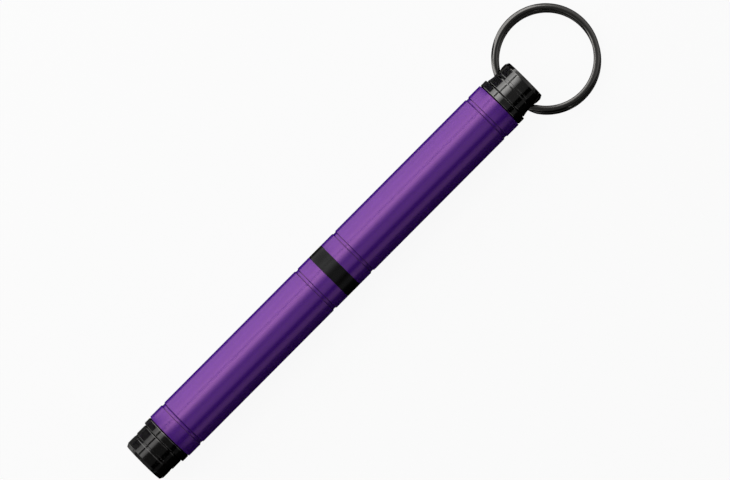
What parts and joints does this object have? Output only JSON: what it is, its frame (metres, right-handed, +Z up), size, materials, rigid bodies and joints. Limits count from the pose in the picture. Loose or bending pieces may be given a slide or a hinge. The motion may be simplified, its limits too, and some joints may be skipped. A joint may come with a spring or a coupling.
{
  "type": "keyring pen",
  "caption": "Short capped ballpoint pen in two purple anodised tubes with black plugs, a centre band and a split ring through its head, for carrying on keys.",
  "frame": {"origin": "on the ground under the middle of the whole pen, which lies closed on its side with the split ring drooping to the ground", "axes": "+X along the pen from its tail to the split ring, +Y along the cross hole that holds the ring, +Z up"},
  "size_m": [0.1134, 0.0204, 0.01],
  "materials": {
    "purple_anodised": "satin anodised, turned",
    "black_gloss_metal": "glossy black",
    "black_satin": "satin black",
    "black_rubber": "matt",
    "black_nickel": "dark nickel plate",
    "brass": "drawn",
    "steel": "turned",
    "spring_steel": "drawn wire",
    "carbide": "lapped",
    "natural_plastic": "moulded"
  },
  "bodies": {
    "pen": {"barrel_tube": "purple_anodised", "thread_insert": "brass", "centre_band": "black_satin", "nose_section": "black_gloss_metal", "cap_seal": "black_rubber", "refill_tube": "brass", "refill_end_plug": "brass", "refill_point": "steel"},
    "cap": {"cap_tube": "purple_anodised", "head_plug": "black_gloss_metal"},
    "ring": {"key_ring": "black_nickel"},
    "tail_carrier": {"refill_spring": "spring_steel"},
    "tail": {"tail_plug": "black_gloss_metal", "tail_seal": "black_rubber"},
    "ball": {"writing_ball": "carbide"},
    "float": {"refill_float": "natural_plastic"}
  },
  "joints": [
    {"name": "cap_slide", "type": "slide", "parent": "pen", "child": "cap", "axis": [1, 0, 0], "range_m": [0, 0.04]},
    {"name": "ring_swing", "type": "hinge", "parent": "cap", "child": "ring", "pos_m": [0.03838, 0, 0.00498], "axis": [0, 1, 0], "range_deg": [-162.7, 137.2]},
    {"name": "tail_travel", "type": "slide", "parent": "pen", "child": "tail_carrier", "axis": [-1, 0, 0], "range_m": [0, 0.003]},
    {"name": "tail_turn", "type": "hinge", "parent": "tail_carrier", "child": "tail", "pos_m": [-0.04993, 0, 0.00498], "axis": [-1, 0, 0], "range_deg": [0, 1081]},
    {"name": "ball_roll", "type": "hinge", "parent": "pen", "child": "ball", "pos_m": [0.02377, 0, 0.00498], "axis": [0, 1, 0], "continuous": true},
    {"name": "float_slide", "type": "slide", "parent": "pen", "child": "float", "axis": [1, 0, 0], "range_m": [0, 0.0365]}
  ],
  "couplings": [
    {"joint": "tail_turn", "follows": "tail_travel", "rad_per_m": 6283.2}
  ]
}
